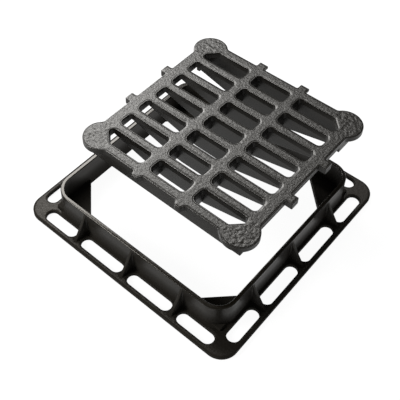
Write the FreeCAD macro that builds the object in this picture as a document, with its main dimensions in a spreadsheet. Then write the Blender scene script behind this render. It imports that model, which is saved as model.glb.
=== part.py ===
import FreeCAD, Part
import math
import os

import Sketcher

# Gully grate: a cast grate lifted clear of its square frame. The origin is the centre
# of the frame's underside, X and Y run along the frame's sides and Z is up. Lengths
# are in millimetres.

SIZES = (
    # Frame: an upright wall on a flat flange.
    ("clear_opening", 404, "clear width and length inside the wall"),
    ("opening_corner", 33, "inner corner radius of the wall"),
    ("wall", 8, "wall thickness"),
    ("frame_height", 65, "underside to rim"),
    ("rim_bevel", 1.5, "bevel along both edges of the rim"),
    ("flange_reach", 40, "wall's outer face to the flange's edge"),
    ("flange_thickness", 9, "flange thickness"),
    ("flange_corner", 35, "plan radius at the flange's corners"),
    ("flange_bevel", 1.5, "bevel along the flange's upper edge"),
    ("root_bevel", 4, "bevelled fillet in the corner between the wall and the flange"),
    ("bedding_slot_width", 26, "width of the bedding slots in the flange"),
    ("bedding_slot_gap", 5, "wall's outer face to the bedding slots"),
    ("bedding_slot_land", 17, "metal left between neighbouring bedding slots"),
    ("bedding_slot_margin", 41.5, "last bedding slot's end to the flange's edge"),
    ("gusset_pitch", 120, "spacing of the three gussets on each side"),
    ("gusset_thickness", 6, "gusset thickness"),
    ("gusset_drop", 5, "rim to the gussets' tops"),
    ("gusset_inset", 11, "flange's edge to the gussets' toes"),
    ("gusset_toe", 2, "height of a gusset's toe above the flange"),
    ("seat_leg", 86, "length along the wall of each triangular corner seat"),
    ("seat_height", 14, "underside to the top of the corner seats"),
    # Fit of the grate in the frame.
    ("side_clearance", 2, "gap between the wall and the grate's ears"),
    ("lug_clearance", 2.5, "gap between the wall and the grate's square lugs"),
    ("rim_drop", 2, "seated grate's top below the rim"),
    # Grate: a slotted plate with ears and lugs over bars and skirts.
    ("plate_thickness", 12, "plate thickness"),
    ("plate_bevel", 1, "bevel along the plate's and the slots' upper edges"),
    ("lug_reach", 13.5, "how far the square lugs stand out from the plate"),
    ("lug_width", 20, "width of the square lugs"),
    ("lug_tip", 1.5, "plan radius at the square lugs' tips"),
    ("lug_root", 3, "plan radius at the square lugs' roots"),
    ("end_lug_thickness", 15, "thickness of the lugs at both ends"),
    ("end_lug_back", 55, "centre line to the end lugs towards +Y"),
    ("end_lug_front", 51, "centre line to the end lugs towards -Y"),
    ("back_lug_thickness", 5, "thickness of the thinner lugs on the +Y side"),
    ("front_lug_reach", 10.5, "how far the round lugs on the -Y side stand out from the plate"),
    ("front_lug_foot", 22, "width of the round lugs at the plate"),
    ("front_lug_end", 14, "width of the round lugs at their tips"),
    ("front_lug_tip", 6, "plan radius at the round lugs' tips"),
    ("front_lug_root", 6, "plan radius at the round lugs' roots"),
    ("ear_radius", 36, "radius of the round corner ears"),
    ("ear_root", 10, "plan radius where the ears meet the plate"),
    ("slot_rows", 7, "rows of water slots"),
    ("slot_width", 32, "width of the water slots"),
    ("slot_corner", 9, "corner radius of the water slots"),
    ("row_border", 20, "plate's edge to the first row of slots"),
    ("column_border", 25, "plate's edge to the outer slots' ends"),
    ("middle_slot", 80, "length of the slots in the middle column"),
    ("column_land", 21, "metal between two slots of a row"),
    ("corner_cut", 20, "leg of the slanted corner on the four corner slots"),
    ("cut_rounding", 5, "radius at both ends of a slanted corner"),
    ("bar_depth", 44, "top face to the bars' undersides at mid-span"),
    ("bar_end_depth", 20, "top face to the bars' undersides at the skirts"),
    ("bar_flat", 58, "half the length of the bars' flat undersides"),
    ("bar_top", 13, "bar width under the plate"),
    ("bar_foot", 10, "bar width at the underside"),
    ("crossbar_top", 17, "crossbar width under the plate"),
    ("crossbar_foot", 14, "crossbar width at the underside"),
    ("skirt_inset", 8.5, "plate's edge to the skirts' outer faces"),
    ("skirt_thickness", 8, "skirt thickness"),
    ("end_skirt_depth", 30, "top face to the end skirts' edges between the feet"),
    ("foot_length", 42, "length of the corner feet along the end skirts"),
    # Place of the lifted grate over the frame.
    ("lift", 56, "rim to the undersides of the lifted grate's feet"),
    ("set_back", 53, "lifted grate's centre from the frame's, along Y"),
)

# Frame faces, as distances from its centre, and heights over its underside.
OPENING = "(Sizes.clear_opening / 2)"
WALL_MIDDLE = f"({OPENING} + Sizes.wall / 2)"
WALL_OUT = f"({OPENING} + Sizes.wall)"
FLANGE_EDGE = f"({WALL_OUT} + Sizes.flange_reach)"
BEDDING_LINE = f"({WALL_OUT} + Sizes.bedding_slot_gap + Sizes.bedding_slot_width / 2)"
GUSSET_TOE = f"({FLANGE_EDGE} - Sizes.gusset_inset)"
GUSSET_TOP = "(Sizes.frame_height - Sizes.gusset_drop)"
SEAT_START = f"({OPENING} - Sizes.seat_leg)"

# Grate faces, as distances from its centre, and heights over its feet.
LUG_TIP = f"({OPENING} - Sizes.lug_clearance)"
PLATE_EDGE = f"({LUG_TIP} - Sizes.lug_reach)"
FRONT_LUG_TIP = f"({PLATE_EDGE} + Sizes.front_lug_reach)"
EAR_CENTRE = f"({OPENING} - Sizes.side_clearance - Sizes.ear_radius)"
TOP = "(Sizes.frame_height - Sizes.seat_height - Sizes.rim_drop)"
PLATE_UNDERSIDE = f"({TOP} - Sizes.plate_thickness)"
SKIRT_OUT = f"({PLATE_EDGE} - Sizes.skirt_inset)"
SKIRT_IN = f"({SKIRT_OUT} - Sizes.skirt_thickness)"
SKIRT_MIDDLE = f"({SKIRT_OUT} - Sizes.skirt_thickness / 2)"
FOOT_START = f"({SKIRT_OUT} - Sizes.foot_length)"
LAST_ROW = f"({PLATE_EDGE} - Sizes.row_border - Sizes.slot_width / 2)"
ROW_PITCH = f"(2 * {LAST_ROW} / (Sizes.slot_rows - 1))"
MIDDLE_END = "(Sizes.middle_slot / 2)"
OUTER_START = f"({MIDDLE_END} + Sizes.column_land)"
OUTER_END = f"({PLATE_EDGE} - Sizes.column_border)"
CROSSBAR_LINE = f"({MIDDLE_END} + Sizes.column_land / 2)"

NEAR = 1e-4


def fill_sheet(document):
    """Write every size into the sheet, with its alias and what it measures."""
    sheet = document.addObject("Spreadsheet::Sheet", "Sizes")
    for row, (alias, size, meaning) in enumerate(SIZES, start=1):
        sheet.set(f"A{row}", alias)
        sheet.set(f"B{row}", str(size))
        sheet.setAlias(f"B{row}", alias)
        sheet.set(f"C{row}", meaning)
    document.recompute()


def value(body, expression):
    """Number that an expression of the sheet's sizes stands for."""
    return float(body.evalExpression(str(expression)))


def minus(expression):
    """The same distance on the other side of the centre."""
    return f"(-{expression})"


def new_sketch(body, name, plane, offset="0"):
    """Empty sketch on one of the body's own planes, moved along the plane's normal."""
    sketch = body.newObject("Sketcher::SketchObject", name)
    support = next(item for item in body.Origin.OriginFeatures if item.Role == plane)
    sketch.AttachmentSupport = (support, "")
    sketch.MapMode = "FlatFace"
    sketch.setExpression("AttachmentOffset.Base.z", offset)
    return sketch


def constrain(sketch, name, expression, kind, *places):
    """Add a constraint whose size follows an expression."""
    number = value(sketch, expression)
    index = sketch.addConstraint(Sketcher.Constraint(kind, *places, number))
    sketch.renameConstraint(index, name)
    sketch.setExpression(f"Constraints.{name}", expression)


def place_point(sketch, name, geometry, point, across, along):
    """Fix a point by its two distances from the sketch's origin."""
    constrain(sketch, f"{name}_across", across, "DistanceX", -1, 1, geometry, point)
    constrain(sketch, f"{name}_along", along, "DistanceY", -1, 1, geometry, point)


def add_arc(sketch, centre, radius, start, stop):
    """Add an arc that runs anticlockwise between two angles in degrees."""
    circle = Part.Circle(FreeCAD.Vector(*centre, 0), FreeCAD.Vector(0, 0, 1), radius)
    return sketch.addGeometry(Part.ArcOfCircle(circle, math.radians(start), math.radians(stop)))


def add_line(sketch, start, stop):
    """Add a straight line between two points."""
    return sketch.addGeometry(Part.LineSegment(FreeCAD.Vector(*start, 0), FreeCAD.Vector(*stop, 0)))


def draw_polygon(sketch, name, corners):
    """Closed outline with sharp corners, each given by two expressions."""
    points = [(value(sketch, across), value(sketch, along)) for across, along in corners]
    lines = [add_line(sketch, points[i - 1], points[i]) for i in range(len(points))]
    for i, (across, along) in enumerate(corners):
        following = lines[(i + 1) % len(lines)]
        sketch.addConstraint(Sketcher.Constraint("Coincident", lines[i], 2, following, 1))
        place_point(sketch, f"{name}_{i}", lines[i], 2, across, along)


def draw_box(sketch, name, left, right, low, high):
    """Rectangle with sharp corners between four edges."""
    draw_polygon(sketch, name, ((left, low), (right, low), (right, high), (left, high)))


def join_smoothly(sketch, first, following):
    """Join the end of one curve to the start of the next, in the same direction."""
    sketch.addConstraint(Sketcher.Constraint("Tangent", first, 2, following, 1))


def draw_rounded_box(sketch, name, left, right, low, high, radius):
    """Rectangle with rounded corners between four edges."""
    size = value(sketch, radius)
    near_left = f"{left} + {radius}"
    near_right = f"{right} - {radius}"
    near_low = f"{low} + {radius}"
    near_high = f"{high} - {radius}"
    centres = (
        (near_right, near_low), (near_right, near_high), (near_left, near_high), (near_left, near_low)
    )
    places = [(value(sketch, across), value(sketch, along)) for across, along in centres]
    arcs = [add_arc(sketch, places[i], size, 90 * i - 90, 90 * i) for i in range(4)]
    lines = []
    for i, (across, along) in enumerate(places):
        outward = (size * round(math.cos(math.pi / 2 * i)), size * round(math.sin(math.pi / 2 * i)))
        following = places[(i + 1) % 4]
        start = (across + outward[0], along + outward[1])
        lines.append(add_line(sketch, start, (following[0] + outward[0], following[1] + outward[1])))
    for i in range(4):
        join_smoothly(sketch, arcs[i], lines[i])
        join_smoothly(sketch, lines[i], arcs[(i + 1) % 4])
        place_point(sketch, f"{name}_{i}", arcs[i], 3, *centres[i])
    for arc in arcs[1:]:
        sketch.addConstraint(Sketcher.Constraint("Equal", arcs[0], arc))
    constrain(sketch, f"{name}_radius", radius, "Radius", arcs[0])


def draw_obround(sketch, name, left, right, line, width):
    """Slot with round ends that runs across the sketch, about the line that it follows."""
    half = value(sketch, width) / 2
    height = value(sketch, line)
    ends = (f"{right} - {width} / 2", f"{left} + {width} / 2")
    places = [value(sketch, end) for end in ends]
    arcs = (
        add_arc(sketch, (places[0], height), half, -90, 90),
        add_arc(sketch, (places[1], height), half, 90, 270),
    )
    lines = (
        add_line(sketch, (places[0], height + half), (places[1], height + half)),
        add_line(sketch, (places[1], height - half), (places[0], height - half)),
    )
    for i in range(2):
        join_smoothly(sketch, arcs[i], lines[i])
        join_smoothly(sketch, lines[i], arcs[1 - i])
        place_point(sketch, f"{name}_{i}", arcs[i], 3, ends[i], line)
    sketch.addConstraint(Sketcher.Constraint("Equal", arcs[0], arcs[1]))
    constrain(sketch, f"{name}_radius", f"{width} / 2", "Radius", arcs[0])


def draw_square(sketch, name, half, radius):
    """Rounded square about the centre."""
    draw_rounded_box(sketch, name, minus(half), half, minus(half), half, radius)


def extrude(body, kind, name, sketch, length, side="One side", flip=False):
    """Pad or Pocket of a sketch, over a length that follows an expression."""
    feature = body.newObject(f"PartDesign::{kind}", name)
    feature.Profile = sketch
    feature.SideType = side
    feature.Reversed = flip
    feature.setExpression("Length", length)
    sketch.Visibility = False
    body.Document.recompute()
    return feature


def turn_copies(body, name, feature, count):
    """Copies of a feature turned about the upright axis."""
    pattern = body.newObject("PartDesign::PolarPattern", name)
    pattern.Originals = [feature]
    axis = next(item for item in body.Origin.OriginFeatures if item.Role == "Z_Axis")
    pattern.Axis = (axis, [""])
    pattern.Angle = 360
    pattern.Occurrences = count
    body.Tip = pattern
    body.Document.recompute()
    return pattern


def row_of_copies(body, name, feature, length, count):
    """Copies of a feature spread over a length along Y."""
    pattern = body.newObject("PartDesign::LinearPattern", name)
    pattern.Originals = [feature]
    axis = next(item for item in body.Origin.OriginFeatures if item.Role == "Y_Axis")
    pattern.Direction = (axis, [""])
    pattern.setExpression("Length", length)
    pattern.setExpression("Occurrences", count)
    body.Tip = pattern
    body.Document.recompute()
    return pattern


def mirror_copy(body, name, feature, plane):
    """Copy of a feature mirrored in one of the body's own planes."""
    mirrored = body.newObject("PartDesign::Mirrored", name)
    mirrored.Originals = [feature]
    support = next(item for item in body.Origin.OriginFeatures if item.Role == plane)
    mirrored.MirrorPlane = (support, [""])
    body.Tip = mirrored
    body.Document.recompute()
    return mirrored


def round_edges(body, name, radius, wanted):
    """Fillet along the body's edges that pass a test."""
    base = body.Tip
    names = [f"Edge{i}" for i, edge in enumerate(base.Shape.Edges, start=1) if wanted(edge)]
    fillet = body.newObject("PartDesign::Fillet", name)
    fillet.Base = (base, names)
    fillet.setExpression("Radius", radius)
    body.Document.recompute()
    return fillet


def bevel_edges(body, name, size, wanted):
    """Chamfer along the body's edges that pass a test."""
    base = body.Tip
    names = [f"Edge{i}" for i, edge in enumerate(base.Shape.Edges, start=1) if wanted(edge)]
    chamfer = body.newObject("PartDesign::Chamfer", name)
    chamfer.Base = (base, names)
    chamfer.setExpression("Size", size)
    body.Document.recompute()
    return chamfer


def is_level(edge, height):
    """Whether an edge lies flat at a height."""
    box = edge.BoundBox
    return box.ZLength < NEAR and abs(box.ZMin - height) < NEAR


def is_upright(edge):
    """Whether an edge stands vertical."""
    box = edge.BoundBox
    return box.XLength < NEAR and box.YLength < NEAR


def farthest(edge):
    """Largest distance, along X or Y, between the centre and an edge."""
    box = edge.BoundBox
    return max(abs(box.XMin), abs(box.XMax), abs(box.YMin), abs(box.YMax))


def nearest(edge):
    """Smallest distance, along X or Y, between the centre and an upright edge."""
    return min(abs(edge.BoundBox.XMin), abs(edge.BoundBox.YMin))


def build_flange(body):
    """Flat flange with a ring of bedding slots and softened upper edges."""
    outline = new_sketch(body, "FlangeOutline", "XY_Plane")
    draw_square(outline, "edge", FLANGE_EDGE, "Sizes.flange_corner")
    extrude(body, "Pad", "Flange", outline, "Sizes.flange_thickness")
    slots = new_sketch(body, "BeddingSlots", "XY_Plane")
    line = minus(BEDDING_LINE)
    width = "Sizes.bedding_slot_width"
    land = "Sizes.bedding_slot_land / 2"
    middle = (land, f"Sizes.gusset_pitch - {land}")
    outer = (f"Sizes.gusset_pitch + {land}", f"{FLANGE_EDGE} - Sizes.bedding_slot_margin")
    for name, (start, stop) in (("middle", middle), ("outer", outer)):
        draw_obround(slots, f"{name}_right", start, stop, line, width)
        draw_obround(slots, f"{name}_left", minus(f"({stop})"), minus(f"({start})"), line, width)
    pocket = extrude(body, "Pocket", "BeddingSlotCut", slots, "Sizes.flange_thickness", flip=True)
    turn_copies(body, "BeddingSlotRing", pocket, 4)
    top = value(body, "Sizes.flange_thickness")
    edge = value(body, FLANGE_EDGE)
    bevel_edges(body, "FlangeBevel", "Sizes.flange_bevel",
                lambda item: is_level(item, top) and farthest(item) > edge - NEAR)


def build_wall(body):
    """Upright wall round the opening, with a triangular seat left in each corner."""
    outline = new_sketch(body, "WallOutline", "XY_Plane")
    draw_square(outline, "face", WALL_OUT, "(Sizes.opening_corner + Sizes.wall)")
    extrude(body, "Pad", "Wall", outline, "Sizes.frame_height")
    opening = new_sketch(body, "OpeningOutline", "XY_Plane", "Sizes.seat_height")
    draw_square(opening, "face", OPENING, "Sizes.opening_corner")
    extrude(body, "Pocket", "Opening", opening, "Sizes.frame_height - Sizes.seat_height", flip=True)
    throat = new_sketch(body, "ThroatOutline", "XY_Plane")
    draw_polygon(throat, "corner", (
        (SEAT_START, minus(OPENING)), (OPENING, minus(SEAT_START)),
        (OPENING, SEAT_START), (SEAT_START, OPENING),
        (minus(SEAT_START), OPENING), (minus(OPENING), SEAT_START),
        (minus(OPENING), minus(SEAT_START)), (minus(SEAT_START), minus(OPENING)),
    ))
    extrude(body, "Pocket", "Throat", throat, "Sizes.seat_height", flip=True)
    top = value(body, "Sizes.flange_thickness")
    outer = value(body, WALL_OUT)
    reach = value(body, OPENING)
    bevel_edges(body, "RootBevel", "Sizes.root_bevel",
                lambda edge: is_level(edge, top) and reach + NEAR < farthest(edge) < outer + NEAR)
    rim = value(body, "Sizes.frame_height")
    bevel_edges(body, "RimBevel", "Sizes.rim_bevel", lambda edge: is_level(edge, rim))


def build_gussets(body):
    """Three triangular gussets on each side, between the wall and the flange."""
    profile = new_sketch(body, "GussetProfile", "XZ_Plane", "Sizes.gusset_pitch")
    inside = "Sizes.flange_thickness / 2"
    draw_polygon(profile, "corner", (
        (WALL_MIDDLE, inside),
        (GUSSET_TOE, inside),
        (GUSSET_TOE, "Sizes.flange_thickness + Sizes.gusset_toe"),
        (WALL_OUT, GUSSET_TOP),
        (WALL_MIDDLE, GUSSET_TOP),
    ))
    gusset = extrude(body, "Pad", "Gusset", profile, "Sizes.gusset_thickness", "Symmetric")
    copies = body.newObject("PartDesign::MultiTransform", "Gussets")
    copies.Originals = [gusset]
    row = body.newObject("PartDesign::LinearPattern", "GussetRow")
    axes = {item.Role: item for item in body.Origin.OriginFeatures}
    row.Direction = (axes["Y_Axis"], [""])
    row.setExpression("Length", "2 * Sizes.gusset_pitch")
    row.Occurrences = 3
    ring = body.newObject("PartDesign::PolarPattern", "GussetRing")
    ring.Axis = (axes["Z_Axis"], [""])
    ring.Angle = 360
    ring.Occurrences = 4
    copies.Transformations = [row, ring]
    body.Tip = copies
    body.Document.recompute()


def build_frame(document):
    """Frame casting, in one piece."""
    body = document.addObject("PartDesign::Body", "Frame")
    body.Label = "frame"
    build_flange(body)
    build_wall(body)
    build_gussets(body)
    return body


def build_plate(body):
    """Plate with a round ear at each corner."""
    outline = new_sketch(body, "PlateOutline", "XY_Plane", PLATE_UNDERSIDE)
    draw_box(outline, "edge", minus(PLATE_EDGE), PLATE_EDGE, minus(PLATE_EDGE), PLATE_EDGE)
    extrude(body, "Pad", "Plate", outline, "Sizes.plate_thickness")
    ear = new_sketch(body, "EarOutline", "XY_Plane", PLATE_UNDERSIDE)
    centre = value(body, EAR_CENTRE)
    radius = value(body, "Sizes.ear_radius")
    upward = FreeCAD.Vector(0, 0, 1)
    circle = ear.addGeometry(Part.Circle(FreeCAD.Vector(centre, centre), upward, radius))
    place_point(ear, "centre", circle, 3, EAR_CENTRE, EAR_CENTRE)
    constrain(ear, "radius", "Sizes.ear_radius", "Radius", circle)
    pad = extrude(body, "Pad", "Ear", ear, "Sizes.plate_thickness")
    turn_copies(body, "Ears", pad, 4)
    side = value(body, PLATE_EDGE)
    round_edges(body, "EarRoots", "Sizes.ear_root",
                lambda edge: is_upright(edge) and abs(farthest(edge) - side) < NEAR)


def draw_front_lug(sketch, name, middle):
    """Plan of a lug on the -Y side, which narrows towards its tip."""
    foot = "Sizes.front_lug_foot / 2"
    end = "Sizes.front_lug_end / 2"
    inside = f"({PLATE_EDGE} - Sizes.front_lug_reach)"
    draw_polygon(sketch, name, (
        (f"{middle} - {foot}", minus(inside)),
        (f"{middle} - {foot}", minus(PLATE_EDGE)),
        (f"{middle} - {end}", minus(FRONT_LUG_TIP)),
        (f"{middle} + {end}", minus(FRONT_LUG_TIP)),
        (f"{middle} + {foot}", minus(PLATE_EDGE)),
        (f"{middle} + {foot}", minus(inside)),
    ))


def build_lugs(body):
    """Two lugs on each side: square at the ends and the back, short and round at the front."""
    half = "Sizes.lug_width / 2"
    inside = f"({PLATE_EDGE} - Sizes.lug_reach)"
    ends = new_sketch(body, "EndLugOutline", "XY_Plane", f"{TOP} - Sizes.end_lug_thickness")
    front = new_sketch(body, "FrontLugOutline", "XY_Plane", PLATE_UNDERSIDE)
    back = new_sketch(body, "BackLugOutline", "XY_Plane", f"{TOP} - Sizes.back_lug_thickness")
    for name, middle in (("back", "Sizes.end_lug_back"), ("front", minus("Sizes.end_lug_front"))):
        low = f"{middle} - {half}"
        high = f"{middle} + {half}"
        draw_box(ends, f"right_{name}", inside, LUG_TIP, low, high)
        draw_box(ends, f"left_{name}", minus(LUG_TIP), minus(inside), low, high)
    for name, middle in (("right", CROSSBAR_LINE), ("left", minus(CROSSBAR_LINE))):
        draw_front_lug(front, name, middle)
        draw_box(back, name, f"{middle} - {half}", f"{middle} + {half}", inside, LUG_TIP)
    extrude(body, "Pad", "EndLugs", ends, "Sizes.end_lug_thickness")
    extrude(body, "Pad", "FrontLugs", front, "Sizes.plate_thickness")
    extrude(body, "Pad", "BackLugs", back, "Sizes.back_lug_thickness")
    lug_field = value(body, "Sizes.end_lug_back + Sizes.lug_width")

    def lug_edges(line, front):
        """Test for upright lug edges along a line round the plate, at the front or elsewhere."""
        distance = value(body, line)
        return lambda edge: (is_upright(edge) and abs(farthest(edge) - distance) < NEAR
                             and nearest(edge) < lug_field
                             and (edge.BoundBox.YMax < NEAR - distance) == front)

    round_edges(body, "FrontLugTips", "Sizes.front_lug_tip", lug_edges(FRONT_LUG_TIP, True))
    round_edges(body, "FrontLugRoots", "Sizes.front_lug_root", lug_edges(PLATE_EDGE, True))
    round_edges(body, "LugTips", "Sizes.lug_tip", lug_edges(LUG_TIP, False))
    round_edges(body, "LugRoots", "Sizes.lug_root", lug_edges(PLATE_EDGE, False))


def build_bars(body):
    """Bars that deepen towards mid-span, and the two crossbars that tie them."""
    foot = f"({TOP} - Sizes.bar_depth)"
    section = new_sketch(body, "BarSection", "YZ_Plane")
    line = minus(f"({LAST_ROW} - {ROW_PITCH} / 2)")
    draw_polygon(section, "corner", (
        (f"{line} - Sizes.bar_foot / 2", foot),
        (f"{line} + Sizes.bar_foot / 2", foot),
        (f"{line} + Sizes.bar_top / 2", PLATE_UNDERSIDE),
        (f"{line} - Sizes.bar_top / 2", PLATE_UNDERSIDE),
    ))
    bar = extrude(body, "Pad", "Bar", section, f"2 * {SKIRT_MIDDLE}", "Symmetric")
    row_of_copies(body, "Bars", bar, f"2 * {LAST_ROW} - {ROW_PITCH}", "Sizes.slot_rows - 1")
    belly = new_sketch(body, "BellyProfile", "XZ_Plane")
    end_foot = f"({TOP} - Sizes.bar_end_depth)"
    draw_polygon(belly, "right", (
        ("Sizes.bar_flat", "0"), (SKIRT_OUT, "0"), (SKIRT_OUT, end_foot), ("Sizes.bar_flat", foot),
    ))
    draw_polygon(belly, "left", (
        (minus("Sizes.bar_flat"), foot), (minus(SKIRT_OUT), end_foot),
        (minus(SKIRT_OUT), "0"), (minus("Sizes.bar_flat"), "0"),
    ))
    extrude(body, "Pocket", "Belly", belly, f"2 * {PLATE_EDGE}", "Symmetric")
    section = new_sketch(body, "CrossbarSection", "XZ_Plane")
    draw_polygon(section, "corner", (
        (f"{CROSSBAR_LINE} - Sizes.crossbar_foot / 2", foot),
        (f"{CROSSBAR_LINE} + Sizes.crossbar_foot / 2", foot),
        (f"{CROSSBAR_LINE} + Sizes.crossbar_top / 2", PLATE_UNDERSIDE),
        (f"{CROSSBAR_LINE} - Sizes.crossbar_top / 2", PLATE_UNDERSIDE),
    ))
    crossbar = extrude(body, "Pad", "Crossbar", section, f"2 * {SKIRT_MIDDLE}", "Symmetric")
    mirror_copy(body, "Crossbars", crossbar, "YZ_Plane")


def build_skirts(body):
    """Skirt round the underside, cut back at both ends so that four feet are left."""
    ring = new_sketch(body, "SkirtOutline", "XY_Plane")
    draw_box(ring, "outer", minus(SKIRT_OUT), SKIRT_OUT, minus(SKIRT_OUT), SKIRT_OUT)
    draw_box(ring, "inner", minus(SKIRT_IN), SKIRT_IN, minus(SKIRT_IN), SKIRT_IN)
    extrude(body, "Pad", "Skirt", ring, PLATE_UNDERSIDE)
    relief = new_sketch(body, "FootRelief", "XY_Plane")
    draw_box(relief, "gap", SKIRT_IN, SKIRT_OUT, minus(FOOT_START), FOOT_START)
    pocket = extrude(body, "Pocket", "FootCut", relief, f"{TOP} - Sizes.end_skirt_depth", flip=True)
    turn_copies(body, "FootCuts", pocket, 2)


def draw_cut_slot(sketch, name, side):
    """Corner slot of the last row: one corner is slanted towards the ear.

    The side is 1 for the slot on the right and -1 for its mirror image.
    """
    radius = value(sketch, "Sizes.slot_corner")
    small = value(sketch, "Sizes.cut_rounding")
    start = value(sketch, OUTER_START)
    stop = value(sketch, OUTER_END)
    low = value(sketch, f"{LAST_ROW} - Sizes.slot_width / 2")
    high = value(sketch, f"{LAST_ROW} + Sizes.slot_width / 2")
    cut = value(sketch, "Sizes.corner_cut")
    setback = small * math.tan(math.radians(22.5))
    slant = setback / math.sqrt(2)

    def at(across, along):
        return (side * across, along)

    def arc(across, along, size, first, last):
        if side < 0:
            first, last = 180 - last, 180 - first
        return add_arc(sketch, at(across, along), size, first, last)

    corners = [
        arc(stop - radius, low + radius, radius, -90, 0),
        arc(stop - small, high - cut - setback, small, 0, 45),
        arc(stop - cut - setback, high - small, small, 45, 90),
        arc(start + radius, high - radius, radius, 90, 180),
        arc(start + radius, low + radius, radius, 180, 270),
    ]
    ends = (
        ((stop, low + radius), (stop, high - cut - setback)),
        ((stop - slant, high - cut + slant), (stop - cut + slant, high - slant)),
        ((stop - cut - setback, high), (start + radius, high)),
        ((start, high - radius), (start, low + radius)),
        ((start + radius, low), (stop - radius, low)),
    )
    lines = [add_line(sketch, at(*first), at(*last)) for first, last in ends]
    leave = 2 if side > 0 else 1
    for i in range(5):
        following = corners[(i + 1) % 5]
        sketch.addConstraint(Sketcher.Constraint("Tangent", corners[i], leave, lines[i], 1))
        sketch.addConstraint(Sketcher.Constraint("Tangent", lines[i], 2, following, 3 - leave))
    sign = "" if side > 0 else "-"
    near_end = f"{sign}({OUTER_END} - Sizes.slot_corner)"
    near_start = f"{sign}({OUTER_START} + Sizes.slot_corner)"
    near_low = f"{LAST_ROW} - Sizes.slot_width / 2 + Sizes.slot_corner"
    near_high = f"{LAST_ROW} + Sizes.slot_width / 2 - Sizes.slot_corner"
    place_point(sketch, f"{name}_end", corners[0], 3, near_end, near_low)
    place_point(sketch, f"{name}_high", corners[3], 3, near_start, near_high)
    place_point(sketch, f"{name}_low", corners[4], 3, near_start, near_low)
    sketch.addConstraint(Sketcher.Constraint("Vertical", lines[0]))
    sketch.addConstraint(Sketcher.Constraint("Horizontal", lines[2]))
    sketch.addConstraint(Sketcher.Constraint("Equal", corners[0], corners[3]))
    sketch.addConstraint(Sketcher.Constraint("Equal", corners[0], corners[4]))
    sketch.addConstraint(Sketcher.Constraint("Equal", corners[1], corners[2]))
    constrain(sketch, f"{name}_radius", "Sizes.slot_corner", "Radius", corners[0])
    constrain(sketch, f"{name}_rounding", "Sizes.cut_rounding", "Radius", corners[1])
    near_cut = f"{LAST_ROW} + Sizes.slot_width / 2 - Sizes.corner_cut - Sizes.cut_rounding * tan(22.5)"
    far_cut = f"{sign}({OUTER_END} - Sizes.corner_cut - Sizes.cut_rounding * tan(22.5))"
    constrain(sketch, f"{name}_slant_end", near_cut, "DistanceY", -1, 1, corners[1], 3)
    constrain(sketch, f"{name}_slant_start", far_cut, "DistanceX", -1, 1, corners[2], 3)


def build_slots(body):
    """Rows of water slots through the plate, three to a row."""
    columns = (
        ("left", minus(OUTER_END), minus(OUTER_START)),
        ("middle", minus(MIDDLE_END), MIDDLE_END),
        ("right", OUTER_START, OUTER_END),
    )
    half = "Sizes.slot_width / 2"
    inner = new_sketch(body, "SlotRow", "XY_Plane", TOP)
    first = minus(f"({LAST_ROW} - {ROW_PITCH})")
    corner = "Sizes.slot_corner"
    for name, start, stop in columns:
        draw_rounded_box(inner, name, start, stop, f"{first} - {half}", f"{first} + {half}", corner)
    pocket = extrude(body, "Pocket", "SlotCut", inner, "Sizes.plate_thickness")
    row_of_copies(body, "SlotRows", pocket, f"2 * ({LAST_ROW} - {ROW_PITCH})", "Sizes.slot_rows - 2")
    last = new_sketch(body, "EndSlotRow", "XY_Plane", TOP)
    name, start, stop = columns[1]
    draw_rounded_box(last, name, start, stop, f"{LAST_ROW} - {half}", f"{LAST_ROW} + {half}", corner)
    draw_cut_slot(last, "right", 1)
    draw_cut_slot(last, "left", -1)
    pocket = extrude(body, "Pocket", "EndSlotCut", last, "Sizes.plate_thickness")
    turn_copies(body, "EndSlotRows", pocket, 2)


def build_grate(document):
    """Grate casting, in one piece, lifted clear of the frame."""
    body = document.addObject("PartDesign::Body", "Grate")
    body.Label = "grate"
    build_plate(body)
    build_lugs(body)
    build_slots(body)
    top = value(body, TOP)
    bevel_edges(body, "PlateBevel", "Sizes.plate_bevel", lambda edge: is_level(edge, top))
    build_bars(body)
    build_skirts(body)
    body.setExpression("Placement.Base.y", "Sizes.set_back")
    body.setExpression("Placement.Base.z", "Sizes.frame_height + Sizes.lift")
    return body


def check_document(document, bodies):
    """Stop with a message where an object has failed or a body is not one sound solid."""
    failed = [item.Name for item in document.Objects if {"Invalid", "Error"} & set(item.State)]
    if failed:
        raise RuntimeError(f"objects failed: {failed}")
    for body in bodies:
        shape = body.Shape
        if shape.isNull() or not shape.isValid() or len(shape.Solids) != 1:
            raise RuntimeError(f"{body.Label} is not one sound solid")


def main():
    """Build both castings and write one file for each."""
    document = FreeCAD.newDocument("GullyGrate")
    fill_sheet(document)
    bodies = (build_frame(document), build_grate(document))
    document.recompute()
    check_document(document, bodies)
    os.makedirs("parts", exist_ok=True)
    for body in bodies:
        body.Shape.exportStep(f"parts/{body.Label}.step")
        box = body.Shape.BoundBox
        print(body.Label, "volume", round(body.Shape.Volume), "box", box)


main()
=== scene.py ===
"""Looks of a cast iron gully top: the flanged frame and the slotted grate lifted over it.

Sizes are in millimetres, and each mesh is written in metres in the place that the solids have.
"""
import logging
import math
from dataclasses import dataclass, field
from enum import Enum
from typing import Iterable, Sequence

import bpy
import numpy as np
from mathutils import Matrix, Vector, geometry, kdtree


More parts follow.
